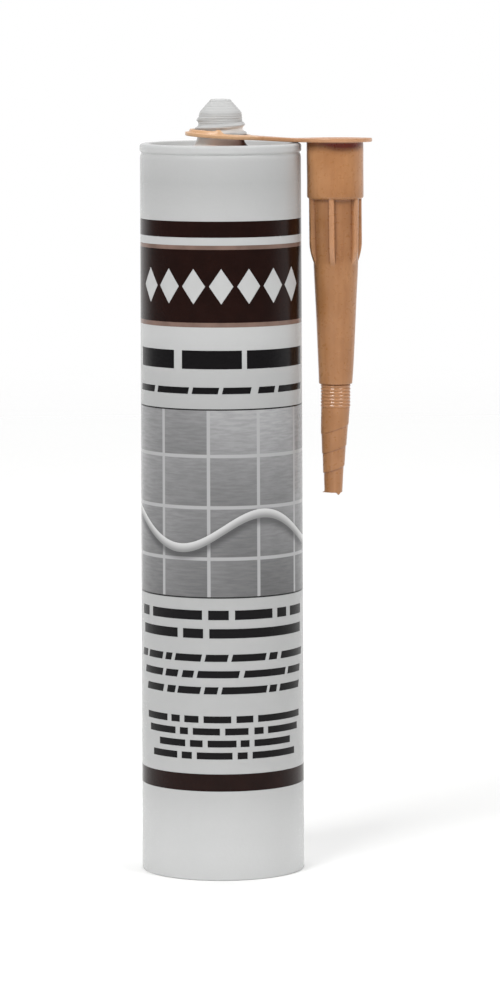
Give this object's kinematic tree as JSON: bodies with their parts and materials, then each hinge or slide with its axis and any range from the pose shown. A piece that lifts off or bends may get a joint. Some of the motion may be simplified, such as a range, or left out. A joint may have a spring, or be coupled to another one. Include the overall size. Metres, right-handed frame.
{
  "type": "caulk tube",
  "caption": "Rigid sealant cartridge: plastic barrel with a closed threaded neck, a sliding piston in its open rear, and a screw-on nozzle hung beside it by its strap.",
  "frame": {"origin": "centre of the rear rim's plane, on the barrel's axis, at the mouth of the rear bore", "axes": "+Z along the barrel's axis towards the neck, +X from the barrel's axis towards the hanging nozzle"},
  "size_m": [0.0709, 0.0498, 0.2355],
  "materials": {
    "barrel_plastic": "satin",
    "piston_plastic": "satin",
    "sealant_paste": "satin",
    "nozzle_plastic": "satin"
  },
  "bodies": {
    "barrel": {"cartridge_barrel": "barrel_plastic", "sealant": "sealant_paste"},
    "piston": {"piston": "piston_plastic"},
    "nozzle": {"nozzle": "nozzle_plastic"}
  },
  "joints": [
    {"name": "piston_slide", "type": "slide", "parent": "barrel", "child": "piston", "axis": [0, 0, 1], "range_m": [0, 0.182], "deforming": ["sealant"]},
    {"name": "nozzle_swivel", "type": "hinge", "parent": "barrel", "child": "nozzle", "pos_m": [0, 0, 0.224], "axis": [0, 0, 1], "continuous": true}
  ]
}
